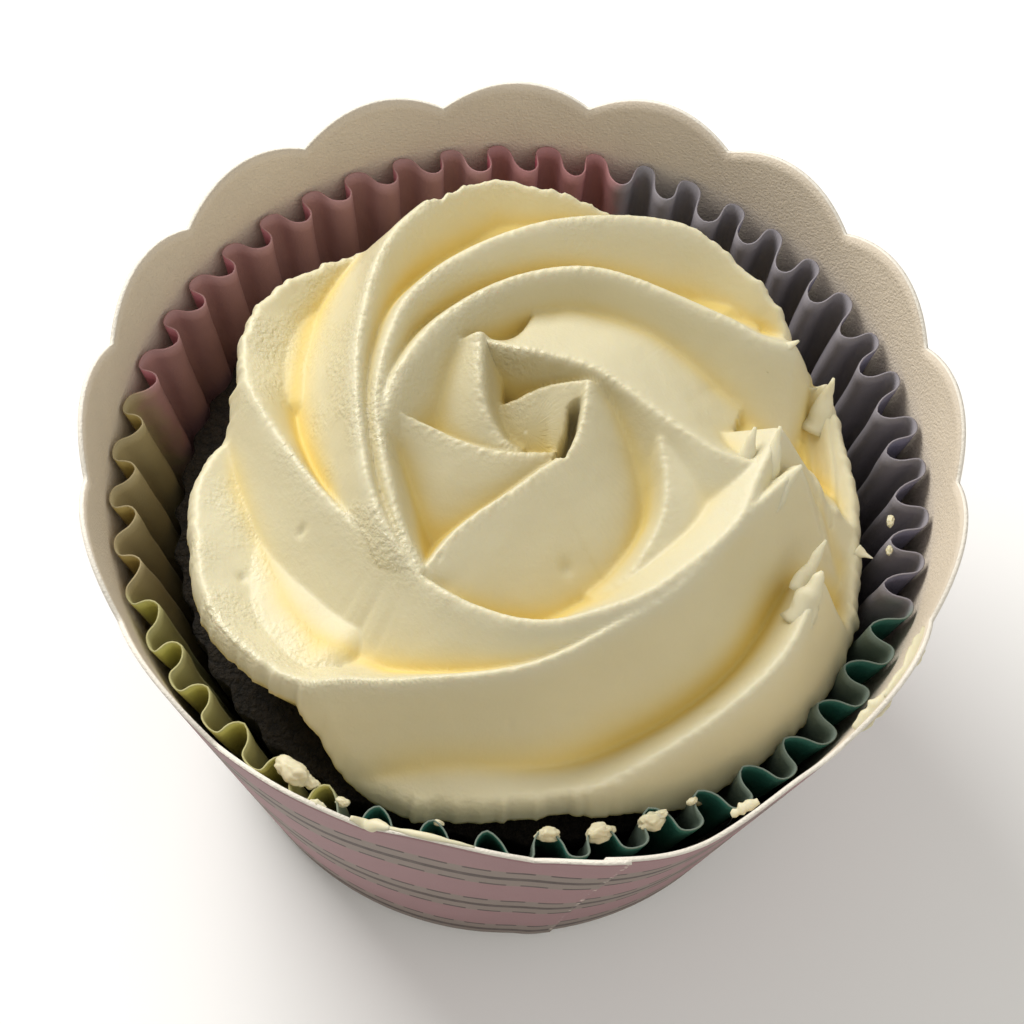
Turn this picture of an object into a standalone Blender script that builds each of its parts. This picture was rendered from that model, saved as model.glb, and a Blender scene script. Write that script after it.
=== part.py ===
"""Cupcake: a piped buttercream rose on a chocolate cake, in a pleated paper case inside a scalloped card cup.

Metres, +Z up. The origin is the middle of the flat base of the card cup. All driving sizes below are in
millimetres and degrees; angles run anticlockwise from +X as seen from above.
"""
from collections import namedtuple

import bmesh
import bpy
import numpy as np
from mathutils import Vector
from mathutils.geometry import delaunay_2d_cdt

MM = 0.001
TURN = 2.0 * np.pi
SHARP_ANGLE = 50.0

# ---- card cup: a plain tapered cup whose rim is cut in scallops -------------------------------------------
SCALLOPS = 17
SCALLOP_STEPS = 8
CUP_BASE_RADIUS = 28.1
CUP_NOTCH_RADIUS = 36.8
CUP_NOTCH_HEIGHT = 43.7
SCALLOP_RISE = 2.4
CARD = 0.5
CUP_FLOOR = 0.7
CUP_FOOT_CHAMFER = 0.4
CUP_COLOUR = (0.36, 0.20, 0.20, 1.0)

# ---- paper case: pleats that deepen towards the top ----------------------------------------------------------
PLEATS = 47
PLEAT_STEPS = 4
CASE_BASE_HEIGHT = 1.1
CASE_TOP_HEIGHT = 39.4
CASE_BASE_RADIUS = 25.4
CASE_HEEL_HEIGHT = 2.6
CASE_HEEL_RADIUS = 26.4
CASE_TOP_RADIUS = 33.9
PLEAT_DEPTH_HEEL = 0.5
PLEAT_DEPTH_TOP = 2.4
PAPER = 0.42
CASE_COLOUR = (0.06, 0.14, 0.14, 1.0)

# ---- cake --------------------------------------------------------------------------------------------------
CAKE_BASE_HEIGHT = 1.9
CAKE_EDGE_HEIGHT = 30.6
CAKE_CROWN_HEIGHT = 34.2
CAKE_DOME_DROP = 2.6
CAKE_BASE_RADIUS = 24.6
CAKE_EDGE_RADIUS = 30.2
CAKE_EDGE_ROUND = 0.9
CAKE_FLUTE = 0.25
CAKE_RINGS = (29.0, 24.0, 18.0, 11.0, 5.0)
CAKE_COLOUR = (0.022, 0.013, 0.009, 1.0)

# ---- frosting: a rose piped anticlockwise from the middle ------------------------------------------------------
# Each petal edge is a short run of (angle, radius, height) stops joined by a smooth curve; the outward flank is
# the steep back of the petal, the inward flank its open face: (depth, width) of each.
Petal = namedtuple("Petal", "stops outward inward")
PETALS = (
    Petal(((125, 8.0, 50.0), (141, 5.5, 49.5), (179, 3.5, 48.0), (245, 2.5, 46.5)), (3.2, 1.8), (3.2, 1.5)),
    Petal(((157, 3.5, 46.5), (79, 3.0, 48.0), (35, 5.5, 50.0)), (3.0, 2.6), (3.8, 1.0)),
    Petal(((-179, 11.5, 48.0), (-150, 5.0, 47.5), (-39, 4.0, 47.0)), (3.2, 4.2), (3.4, 1.3)),
    Petal(((-118, 16.0, 47.5), (-113, 11.0, 48.0), (-88, 6.5, 48.5), (-34, 5.0, 49.5), (31, 5.5, 50.0)),
          (4.2, 3.0), (4.0, 1.6)),
    Petal(((-11, 17.5, 49.5), (0, 11.0, 50.0), (35, 6.5, 50.5), (98, 7.0, 50.0), (137, 9.5, 49.5),
           (180, 10.5, 48.5)), (3.6, 3.4), (5.0, 2.0)),
    Petal(((23, 24.0, 46.5), (47, 17.5, 49.0), (83, 13.5, 50.5), (132, 10.5, 50.5), (187, 12.0, 49.5)),
          (4.6, 3.0), (3.4, 2.4)),
    Petal(((24, 28.0, 39.0), (48, 27.0, 45.5), (73, 23.0, 48.5), (103, 17.0, 50.0), (144, 13.5, 50.0),
           (197, 12.5, 49.0), (242, 16.5, 47.5)), (4.8, 3.0), (3.4, 3.0)),
    Petal(((78, 27.5, 42.5), (102, 26.5, 46.0), (126, 21.5, 48.0), (156, 15.5, 49.5), (201, 14.0, 49.5),
           (242, 17.0, 47.5)), (5.5, 3.6), (3.0, 3.0)),
    Petal(((123, 28.5, 38.5), (149, 28.5, 41.0), (174, 23.0, 43.0), (206, 17.0, 45.5), (248, 18.0, 48.5),
           (287, 19.0, 49.5), (325, 19.0, 49.5), (360, 21.5, 50.0)), (6.5, 5.0), (3.0, 3.0)),
    Petal(((173, 26.0, 37.5), (199, 29.0, 38.0), (225, 28.0, 40.5), (251, 24.5, 45.0), (282, 21.0, 48.0),
           (318, 19.5, 49.0), (352, 22.5, 49.5)), (6.5, 5.0), (3.0, 3.0)),
    Petal(((-134, 27.5, 37.0), (-113, 30.0, 37.0), (-92, 30.5, 38.0), (-70, 30.5, 41.5), (-48, 29.0, 44.0),
           (-25, 27.5, 46.0)), (6.5, 5.0), (3.0, 3.0)),
    Petal(((-80, 29.5, 37.0), (-60, 30.4, 37.5), (-41, 30.7, 38.0), (-22, 30.0, 39.0), (-2, 29.0, 40.5),
           (19, 27.5, 43.5)), (6.5, 4.4), (3.0, 3.0)),
)
OUTER_PETALS = PETALS[6:]
STOP_STEPS = 9
FLANK_POWER = 1.15
FACE_SLOPE = 0.22
BACK_SLOPE_INNER = 0.25
BACK_SLOPE_OUTER = 0.75
BACK_SLOPE_RADII = (17.0, 27.0)
EDGE_SOFTNESS = 0.3
CREASE_SOFTNESS = 0.3
CORE_RADIUS = 26.9
CORE_SHIFT = 2.0
CORE_SHIFT_ANGLE = -50.0
CORE_FLOOR_HEIGHT = 34.0
CORE_FLOOR_RISE = 9.5
CORE_FLOOR_RADIUS = 27.0
PETAL_LIP = 0.4
PETAL_START_ANGLE = 9.0
PETAL_START_DROP = 3.5
SKIRT_HEIGHT = 35.0
SKIRT_ROUND = 1.3
FROSTING_GAP = 0.45
OUTLINE_POINTS = 112
OUTLINE_RINGS = (0.35, 1.0)
TUCK = ((0.35, 33.9), (1.3, 32.9))
TUCK_FOOT = 2.7
UNDERSIDE_RINGS = (0.66, 0.33)
FACET = 1.5
CREST_SPACING = 1.3
CREST_CLEARANCE = 0.55
FROSTING_COLOUR = (0.80, 0.71, 0.45, 1.0)


def polar(angle, radius, height):
    """Point in millimetres from an angle in radians."""
    return (radius * np.cos(angle), radius * np.sin(angle), height)


def make_body(name, points, faces, colour, roughness):
    """One closed named object with its own material; points are in millimetres."""
    mesh = bpy.data.meshes.new(name)
    mesh.from_pydata([Vector(p) * MM for p in points], [], faces)
    work = bmesh.new()
    work.from_mesh(mesh)
    bmesh.ops.triangulate(work, faces=[f for f in work.faces if len(f.verts) > 4])
    bmesh.ops.recalc_face_normals(work, faces=work.faces)
    work.to_mesh(mesh)
    work.free()
    material = bpy.data.materials.new(name)
    material.use_nodes = True
    shader = material.node_tree.nodes["Principled BSDF"]
    shader.inputs["Base Color"].default_value = colour
    shader.inputs["Roughness"].default_value = roughness
    mesh.materials.append(material)
    mesh.shade_smooth()
    mesh.set_sharp_from_angle(angle=np.radians(SHARP_ANGLE))
    item = bpy.data.objects.new(name, mesh)
    bpy.context.scene.collection.objects.link(item)
    return item


def lathe(name, rings, colour, roughness):
    """Closed body from equal rings of points, the first and the last ring filled by a fan to their middle."""
    count = len(rings[0])
    points = [p for ring in rings for p in ring]
    faces = []
    for row in range(len(rings) - 1):
        low, high = row * count, (row + 1) * count
        for i in range(count):
            j = (i + 1) % count
            faces.append((low + i, low + j, high + j, high + i))
    for ring, start in ((rings[0], 0), (rings[-1], (len(rings) - 1) * count)):
        middle = tuple(np.mean(ring, axis=0))
        points.append(middle)
        faces += [(start + i, start + (i + 1) % count, len(points) - 1) for i in range(count)]
    return make_body(name, points, faces, colour, roughness)


def cup_radius(height):
    """Outside radius of the card cup at a height."""
    return CUP_BASE_RADIUS + (CUP_NOTCH_RADIUS - CUP_BASE_RADIUS) * height / CUP_NOTCH_HEIGHT


def build_cup():
    angles = np.arange(SCALLOPS * SCALLOP_STEPS) * TURN / (SCALLOPS * SCALLOP_STEPS)
    across = 2.0 * np.mod(angles * SCALLOPS / TURN, 1.0) - 1.0
    rim = CUP_NOTCH_HEIGHT + SCALLOP_RISE * (1.0 - across ** 2)
    rings = [
        [polar(a, CUP_BASE_RADIUS - CUP_FOOT_CHAMFER, 0.0) for a in angles],
        [polar(a, cup_radius(CUP_FOOT_CHAMFER), CUP_FOOT_CHAMFER) for a in angles],
        [polar(a, cup_radius(h), h) for a, h in zip(angles, rim)],
        [polar(a, cup_radius(h) - CARD, h) for a, h in zip(angles, rim)],
        [polar(a, cup_radius(CUP_FLOOR) - CARD, CUP_FLOOR) for a in angles],
    ]
    return lathe("cup", rings, CUP_COLOUR, 0.7)


def case_ring(angles, radius, depth, height, inset):
    """One level of the pleated case; the pleats swing half their depth each way."""
    return [polar(a, radius + 0.5 * depth * np.cos(PLEATS * a) - inset, height) for a in angles]


def build_case():
    angles = np.arange(PLEATS * PLEAT_STEPS) * TURN / (PLEATS * PLEAT_STEPS)
    rings = [
        case_ring(angles, CASE_BASE_RADIUS, 0.0, CASE_BASE_HEIGHT, 0.0),
        case_ring(angles, CASE_HEEL_RADIUS, PLEAT_DEPTH_HEEL, CASE_HEEL_HEIGHT, 0.0),
        case_ring(angles, CASE_TOP_RADIUS, PLEAT_DEPTH_TOP, CASE_TOP_HEIGHT, 0.0),
        case_ring(angles, CASE_TOP_RADIUS, PLEAT_DEPTH_TOP, CASE_TOP_HEIGHT, PAPER),
        case_ring(angles, CASE_HEEL_RADIUS, PLEAT_DEPTH_HEEL, CASE_HEEL_HEIGHT, PAPER),
        case_ring(angles, CASE_BASE_RADIUS, 0.0, CASE_BASE_HEIGHT + PAPER, PAPER),
    ]
    return lathe("paper_case", rings, CASE_COLOUR, 0.75)


def cake_top(radius):
    """Height of the domed cake top under the frosting."""
    return CAKE_CROWN_HEIGHT - CAKE_DOME_DROP * (radius / CAKE_EDGE_RADIUS) ** 2


def build_cake():
    angles = np.arange(2 * PLEATS) * TURN / (2 * PLEATS)
    flute = CAKE_FLUTE * np.cos(PLEATS * angles)
    rings = [
        [polar(a, CAKE_BASE_RADIUS - CAKE_EDGE_ROUND, CAKE_BASE_HEIGHT) for a in angles],
        [polar(a, CAKE_BASE_RADIUS + f, CAKE_BASE_HEIGHT + CAKE_EDGE_ROUND) for a, f in zip(angles, flute)],
        [polar(a, CAKE_EDGE_RADIUS + f, CAKE_EDGE_HEIGHT) for a, f in zip(angles, flute)],
    ]
    rings += [[polar(a, r, cake_top(r)) for a in angles] for r in CAKE_RINGS]
    return lathe("cake", rings, CAKE_COLOUR, 0.9)


def smooth_step(start, end, value):
    t = np.clip((value - start) / (end - start), 0.0, 1.0)
    return t * t * (3.0 - 2.0 * t)


def petal_curve(stops):
    """Smooth curve through the stops of a petal edge."""
    p = np.array([polar(np.radians(a), r, h) for a, r, h in stops])
    p = np.vstack((2 * p[0] - p[1], p, 2 * p[-1] - p[-2]))
    spans = len(p) - 3
    place = np.linspace(0, spans, spans * STOP_STEPS + 1)
    i = np.minimum(place.astype(int), spans - 1)
    f = (place - i)[:, None]
    a, b, c, d = p[i], p[i + 1], p[i + 2], p[i + 3]
    return b + 0.5 * f * (c - a + f * (2 * a - 5 * b + 4 * c - d + f * (3 * (b - c) + d - a)))


CURVES = [petal_curve(petal.stops) for petal in PETALS]


def frosting_radius(angle):
    """Widest radius of the frosting at an angle: a round core and the lobes of the outer petals."""
    angle = np.asarray(angle)
    radius = CORE_RADIUS + CORE_SHIFT * np.cos(angle - np.radians(CORE_SHIFT_ANGLE))
    start = np.linspace(1.0, 0.0, STOP_STEPS, endpoint=False)
    for petal in OUTER_PETALS:
        curve = petal_curve(petal.stops)
        a = np.unwrap(np.arctan2(curve[:, 1], curve[:, 0]))
        r = np.hypot(curve[:, 0], curve[:, 1]) + PETAL_LIP
        a = np.concatenate((a[0] - start * np.radians(PETAL_START_ANGLE), a))
        r = np.concatenate((r[0] - PETAL_START_DROP * start ** 2, r))
        for turn in (-TURN, 0.0, TURN):
            radius = np.maximum(radius, np.interp(angle + turn, a, r, left=0.0, right=0.0))
    return radius


def nearest_on_curve(x, y, curve):
    """Distance to a curve, the height there, and 1 on the inward side to 0 on the outward side."""
    best = np.full(x.shape, np.inf)
    height = np.zeros(x.shape)
    side = np.zeros(x.shape)
    for p, q in zip(curve[:-1], curve[1:]):
        along = q - p
        length = np.hypot(along[0], along[1])
        dx, dy = x - p[0], y - p[1]
        t = np.clip((dx * along[0] + dy * along[1]) / length ** 2, 0.0, 1.0)
        gap = np.hypot(dx - t * along[0], dy - t * along[1])
        closer = gap < best
        turn = (along[0] * dy - along[1] * dx) / (length * np.maximum(gap, 1e-6))
        best = np.where(closer, gap, best)
        height = np.where(closer, p[2] + t * along[2], height)
        side = np.where(closer, turn, side)
    anticlockwise = np.sum(curve[:-1, 0] * curve[1:, 1] - curve[1:, 0] * curve[:-1, 1]) > 0
    return best, height, smooth_step(-1.0, 1.0, side if anticlockwise else -side)


def flank(distance, depth, width):
    return depth * (1.0 - np.exp(-np.power(distance / width, FLANK_POWER)))


def frosting_height(x, y):
    """Height of the frosting above a point of the plan."""
    x, y = np.asarray(x, float), np.asarray(y, float)
    radius = np.hypot(x, y)
    rising = smooth_step(*BACK_SLOPE_RADII, radius)
    back_slope = BACK_SLOPE_INNER + (BACK_SLOPE_OUTER - BACK_SLOPE_INNER) * rising
    floor = 1.0 - np.clip(radius / CORE_FLOOR_RADIUS, 0.0, 1.0) ** 4
    layers = [CORE_FLOOR_HEIGHT + CORE_FLOOR_RISE * np.sqrt(floor)]
    for petal, curve in zip(PETALS, CURVES):
        gap, height, inward = nearest_on_curve(x, y, curve)
        gap = np.sqrt(gap ** 2 + EDGE_SOFTNESS ** 2) - EDGE_SOFTNESS
        face = flank(gap, *petal.inward) + FACE_SLOPE * gap
        back = flank(gap, *petal.outward) + back_slope * gap
        layers.append(height - inward * face - (1.0 - inward) * back)
    layers = np.array(layers)
    top = layers.max(axis=0)
    top = top + CREASE_SOFTNESS * np.log(np.exp((layers - top) / CREASE_SOFTNESS).sum(axis=0))
    inset = np.clip((frosting_radius(np.arctan2(y, x)) - radius) / SKIRT_ROUND, 0.0, 1.0)
    return SKIRT_HEIGHT + (top - SKIRT_HEIGHT) * np.sqrt(1.0 - (1.0 - inset) ** 2)


def frosting_plan():
    """Plan points and the lines that must stay as edges: outline rings, petal edges, then an even filling."""
    angles = np.arange(OUTLINE_POINTS) * TURN / OUTLINE_POINTS
    wide = frosting_radius(angles)
    points, lines = [], []
    for inset in (0.0,) + OUTLINE_RINGS:
        first = len(points)
        points += [polar(a, r - inset, 0.0)[:2] for a, r in zip(angles, wide)]
        lines += [(first + i, first + (i + 1) % OUTLINE_POINTS) for i in range(OUTLINE_POINTS)]
    rim = len(points)
    for curve in CURVES:
        length = np.concatenate(([0.0], np.cumsum(np.hypot(*np.diff(curve[:, :2], axis=0).T))))
        stops = np.linspace(0.0, length[-1], int(length[-1] / CREST_SPACING) + 1)
        previous = None
        for x, y in zip(np.interp(stops, length, curve[:, 0]), np.interp(stops, length, curve[:, 1])):
            inside = np.hypot(x, y) < frosting_radius(np.arctan2(y, x)) - OUTLINE_RINGS[-1]
            clear = all(np.hypot(x - p[0], y - p[1]) > CREST_CLEARANCE for p in points[rim:])
            if inside and clear:
                points.append((x, y))
                if previous is not None:
                    lines.append((previous, len(points) - 1))
                previous = len(points) - 1
            else:
                previous = None
    fixed = np.array(points)
    reach = int(wide.max() / FACET) + 2
    for row in range(-reach, reach + 1):
        for column in range(-reach, reach + 1):
            x, y = FACET * (column + 0.5 * (row % 2)), FACET * row * np.sqrt(0.75)
            if np.hypot(x, y) > frosting_radius(np.arctan2(y, x)) - OUTLINE_RINGS[-1] - 0.5 * FACET:
                continue
            if np.hypot(*(fixed - (x, y)).T).min() > 0.5 * FACET:
                points.append((x, y))
    return points, lines, angles, wide


def build_frosting():
    plan, lines, angles, wide = frosting_plan()
    outline = list(range(OUTLINE_POINTS))
    flat, _, faces, origins, _, _ = delaunay_2d_cdt([Vector(p) for p in plan], lines, [outline], 1, 1e-5)
    flat = np.array([tuple(p) for p in flat])
    heights = frosting_height(flat[:, 0], flat[:, 1])
    points = [(x, y, z) for (x, y), z in zip(flat, heights)]
    faces = [tuple(f) for f in faces]
    above = [next(i for i, source in enumerate(origins) if k in source) for k in outline]
    for i in above:
        points[i] = (points[i][0], points[i][1], SKIRT_HEIGHT)
    levels = [(wide - inset, np.full(wide.shape, height)) for inset, height in TUCK]
    foot = wide - TUCK_FOOT
    levels += [(foot * s, cake_top(foot * s) + FROSTING_GAP) for s in (1.0,) + UNDERSIDE_RINGS]
    for radii, level in levels:
        below = list(range(len(points), len(points) + OUTLINE_POINTS))
        points += [polar(a, r, h) for a, r, h in zip(angles, radii, level)]
        for i in range(OUTLINE_POINTS):
            j = (i + 1) % OUTLINE_POINTS
            faces.append((above[i], above[j], below[j], below[i]))
        above = below
    points.append((0.0, 0.0, cake_top(0.0) + FROSTING_GAP))
    faces += [(above[i], above[(i + 1) % OUTLINE_POINTS], len(points) - 1) for i in range(OUTLINE_POINTS)]
    return make_body("frosting", points, faces, FROSTING_COLOUR, 0.4)


for leftover in list(bpy.data.objects):
    bpy.data.objects.remove(leftover, do_unlink=True)
build_cup()
build_case()
build_cake()
build_frosting()
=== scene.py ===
"""Cupcake: a piped buttercream rose on a chocolate cake, in a pleated paper case inside a scalloped card cup.

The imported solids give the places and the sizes. Sizes that a user may change are in metres and radians; the tables
of petals, tails and smears are in millimetres and degrees. Angles run anticlockwise from +X as seen from above.
"""
import math

import bmesh
import bpy
import numpy as np
from bpy.props import (FloatProperty, FloatVectorProperty, IntProperty, PointerProperty)
from mathutils import Matrix, Vector, noise


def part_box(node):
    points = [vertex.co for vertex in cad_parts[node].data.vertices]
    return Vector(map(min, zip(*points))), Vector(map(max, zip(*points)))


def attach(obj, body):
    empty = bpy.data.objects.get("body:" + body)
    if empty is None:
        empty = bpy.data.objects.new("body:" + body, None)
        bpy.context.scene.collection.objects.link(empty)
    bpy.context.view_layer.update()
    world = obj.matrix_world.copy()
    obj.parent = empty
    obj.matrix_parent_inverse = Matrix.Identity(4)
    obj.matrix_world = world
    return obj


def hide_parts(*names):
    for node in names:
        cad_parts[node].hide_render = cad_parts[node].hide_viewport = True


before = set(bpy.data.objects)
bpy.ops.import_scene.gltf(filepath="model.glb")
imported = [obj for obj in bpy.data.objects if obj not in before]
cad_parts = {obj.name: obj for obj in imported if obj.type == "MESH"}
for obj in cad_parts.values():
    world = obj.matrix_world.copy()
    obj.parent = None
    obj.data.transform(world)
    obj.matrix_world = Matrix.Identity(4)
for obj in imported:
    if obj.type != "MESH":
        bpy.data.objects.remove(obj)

bl_info = {
    "name": "Buttercream Rose Cupcake",
    "version": (1, 0, 0),
    "blender": (4, 5, 0),
    "location": "3D View > Sidebar > Cupcake",
    "description": "Builds a piped cupcake in a pleated case and a scalloped card cup",
    "category": "Object",
}

MM = 0.001
TURN = 2.0 * math.pi
BODY = "root"
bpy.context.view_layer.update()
CUP_LOW, CUP_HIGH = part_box("cup")
CASE_LOW, CASE_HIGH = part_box("paper_case")
CAKE_LOW, CAKE_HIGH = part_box("cake")


# ---- node trees --------------------------------------------------------------------------------------------

class Field:
    """A number that varies over a surface, so that node formulas read like formulas."""

    def __init__(self, tree, socket):
        self.tree, self.socket = tree, socket

    def math(self, operation, *others, clamp=False):
        node = self.tree.nodes.new("ShaderNodeMath")
        node.operation, node.use_clamp = operation, clamp
        for socket, value in zip(node.inputs, (self,) + others):
            feed(self.tree, socket, value)
        return Field(self.tree, node.outputs[0])

    def __add__(self, other):
        return self.math("ADD", other)

    def __sub__(self, other):
        return self.math("SUBTRACT", other)

    def __mul__(self, other):
        return self.math("MULTIPLY", other)

    def __truediv__(self, other):
        return self.math("DIVIDE", other)

    def __neg__(self):
        return self.math("MULTIPLY", -1.0)

    def __rsub__(self, other):
        return -self + other

    def __pow__(self, other):
        return self.math("POWER", other)

    __radd__, __rmul__ = __add__, __mul__

    def sin(self):
        return self.math("SINE")

    def cos(self):
        return self.math("COSINE")

    def abs(self):
        return self.math("ABSOLUTE")

    def fraction(self):
        return self.math("FRACT")

    def wrap(self, low, high):
        node = self.math("WRAP", high, low)
        return node

    def ramp(self, start, end, low=0.0, high=1.0, smooth=True):
        """Low before start, high after end, and an eased climb between them."""
        node = self.tree.nodes.new("ShaderNodeMapRange")
        node.interpolation_type = "SMOOTHSTEP" if smooth else "LINEAR"
        for key, value in zip(("Value", "From Min", "From Max", "To Min", "To Max"), (self, start, end, low, high)):
            feed(self.tree, node.inputs[key], value)
        return Field(self.tree, node.outputs["Result"])


def feed(tree, socket, value):
    """Sets an input socket, or wires it when the value comes from another node."""
    if isinstance(value, Field):
        value = value.socket
    if isinstance(value, bpy.types.NodeSocket):
        tree.links.new(value, socket)
    else:
        socket.default_value = value


def add(tree, kind, inputs=None, **settings):
    """One node with its settings and its inputs filled in."""
    node = tree.nodes.new(kind)
    for name, value in settings.items():
        setattr(node, name, value)
    for name, value in (inputs or {}).items():
        feed(tree, node.inputs[name], value)
    return node


def new_tree(kind, name, given, wanted):
    """A node tree with named inputs, given as (name, socket type, default), and named outputs."""
    tree = bpy.data.node_groups.new(name, kind)
    for label, socket, default in given:
        item = tree.interface.new_socket(name=label, in_out="INPUT", socket_type="NodeSocket" + socket)
        if default is not None:
            item.default_value = default
    for label, socket in wanted:
        tree.interface.new_socket(name=label, in_out="OUTPUT", socket_type="NodeSocket" + socket)
    source, sink = tree.nodes.new("NodeGroupInput"), tree.nodes.new("NodeGroupOutput")
    values = {label: Field(tree, source.outputs[label]) for label, _, _ in given}
    return tree, values, sink


def combine(tree, x, y, z):
    return add(tree, "ShaderNodeCombineXYZ", {"X": x, "Y": y, "Z": z}).outputs[0]


def split(tree, vector):
    node = add(tree, "ShaderNodeSeparateXYZ", {0: vector})
    return [Field(tree, socket) for socket in node.outputs]


def cloud(tree, place, scale, detail=2.0, roughness=0.5, seed=0.0):
    """Smooth noise between 0 and 1 at a place, different for each seed."""
    node = add(tree, "ShaderNodeTexNoise", {"Vector": place, "W": seed, "Scale": scale, "Detail": detail,
                                            "Roughness": roughness}, noise_dimensions="4D")
    return Field(tree, node.outputs[0])


def mix_colour(tree, share, first, second, blend="MIX"):
    node = add(tree, "ShaderNodeMix", data_type="RGBA", blend_type=blend)
    for index, value in ((0, share), (6, first), (7, second)):
        feed(tree, node.inputs[index], value)
    return node.outputs[2]


# ---- shapes made by geometry nodes -------------------------------------------------------------------------

def unit_grid(tree, columns, rows):
    """A flat grid and its two running places, both from 0 to 1."""
    grid = add(tree, "GeometryNodeMeshGrid", {"Size X": 1.0, "Size Y": 1.0, "Vertices X": columns,
                                              "Vertices Y": rows})
    x, y, _ = split(tree, add(tree, "GeometryNodeInputPosition").outputs[0])
    return grid.outputs["Mesh"], x + 0.5, y + 0.5


def polar_place(tree, angle, radius, height):
    return combine(tree, radius * angle.cos(), radius * angle.sin(), height)


def finish_tree(tree, sink, geometry, values):
    """Every tree ends the same way: real geometry with its material on."""
    real = add(tree, "GeometryNodeRealizeInstances", {"Geometry": geometry})
    painted = add(tree, "GeometryNodeSetMaterial", {"Geometry": real.outputs[0], "Material": values["Material"]})
    smooth = add(tree, "GeometryNodeSetShadeSmooth", {"Geometry": painted.outputs[0]})
    feed(tree, sink.inputs[0], smooth.outputs[0])
    tree.is_modifier = True
    return tree


def card_wall_tree():
    """Tapered wall with a scalloped rim, rolled from one strip whose outer end laps over its start."""
    tree, v, sink = new_tree("GeometryNodeTree", "Scalloped card wall", (
        ("Base Radius", "Float", 0.0281), ("Notch Radius", "Float", 0.0368), ("Notch Height", "Float", 0.0437),
        ("Scallops", "Int", 17), ("Scallop Rise", "Float", 0.0024), ("Card", "Float", 0.0005),
        ("Seam Angle", "Float", -1.29), ("Overlap", "Float", 0.12), ("Seam Drift", "Float", 0.05),
        ("Bulge", "Float", 0.0013), ("Bulge Angle", "Float", -1.19), ("Dent", "Float", 0.0005),
        ("Dent Angle", "Float", -1.76), ("Unevenness", "Float", 0.0003), ("Floor Height", "Float", 0.0004),
        ("Columns", "Int", 409), ("Rows", "Int", 40), ("Material", "Material", None)), (("Geometry", "Geometry"),))
    mesh, along, up = unit_grid(tree, v["Columns"], v["Rows"])
    run = along * (v["Overlap"] + TURN)
    angle = v["Seam Angle"] - v["Overlap"] + run
    across = (angle * v["Scallops"] / TURN).fraction() * 2.0 - 1.0
    height = up * (v["Notch Height"] + v["Scallop Rise"] * (1.0 - across * across))
    rise = height / v["Notch Height"]
    lapped = run.ramp(TURN - 0.16, TURN)
    torn = cloud(tree, combine(tree, height * 900.0, 0.0, 0.0), 1.0, 3.0, 0.7, 5.0) - 0.5
    angle = angle - lapped * v["Seam Drift"] * (1.0 - rise) + along.ramp(0.992, 1.0) * torn * 0.012
    circle = combine(tree, angle.cos() * 1.3, angle.sin() * 1.3, rise * 0.5)
    uneven = (cloud(tree, circle, 1.0, 1.0, 0.4, 2.0) - 0.5) * v["Unevenness"] * 2.0
    bulge = (angle - v["Bulge Angle"]).wrap(-math.pi, math.pi).abs().ramp(0.0, 0.32, 1.0, 0.0) * v["Bulge"]
    dent = (angle - v["Dent Angle"]).wrap(-math.pi, math.pi).abs().ramp(0.0, 0.3, 1.0, 0.0) * v["Dent"]
    radius = v["Base Radius"] + (v["Notch Radius"] - v["Base Radius"]) * rise
    radius = radius + lapped * v["Card"] * 0.55 + (bulge - dent + uneven) * rise ** 1.5
    wall = add(tree, "GeometryNodeSetPosition", {"Geometry": mesh, "Position": polar_place(tree, angle, radius, height)})
    disc = add(tree, "GeometryNodeMeshCircle", {"Vertices": 136, "Radius": v["Base Radius"] - v["Card"] * 1.06},
               fill_type="NGON")
    disc = add(tree, "GeometryNodeFlipFaces", {"Mesh": disc.outputs[0]})
    disc = add(tree, "GeometryNodeTransform", {"Geometry": disc.outputs[0],
                                               "Translation": combine(tree, 0.0, 0.0, v["Floor Height"])})
    both = add(tree, "GeometryNodeJoinGeometry")
    for part in (disc.outputs[0], wall.outputs[0]):
        tree.links.new(part, both.inputs[0])
    return finish_tree(tree, sink, both.outputs[0], v)


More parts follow.
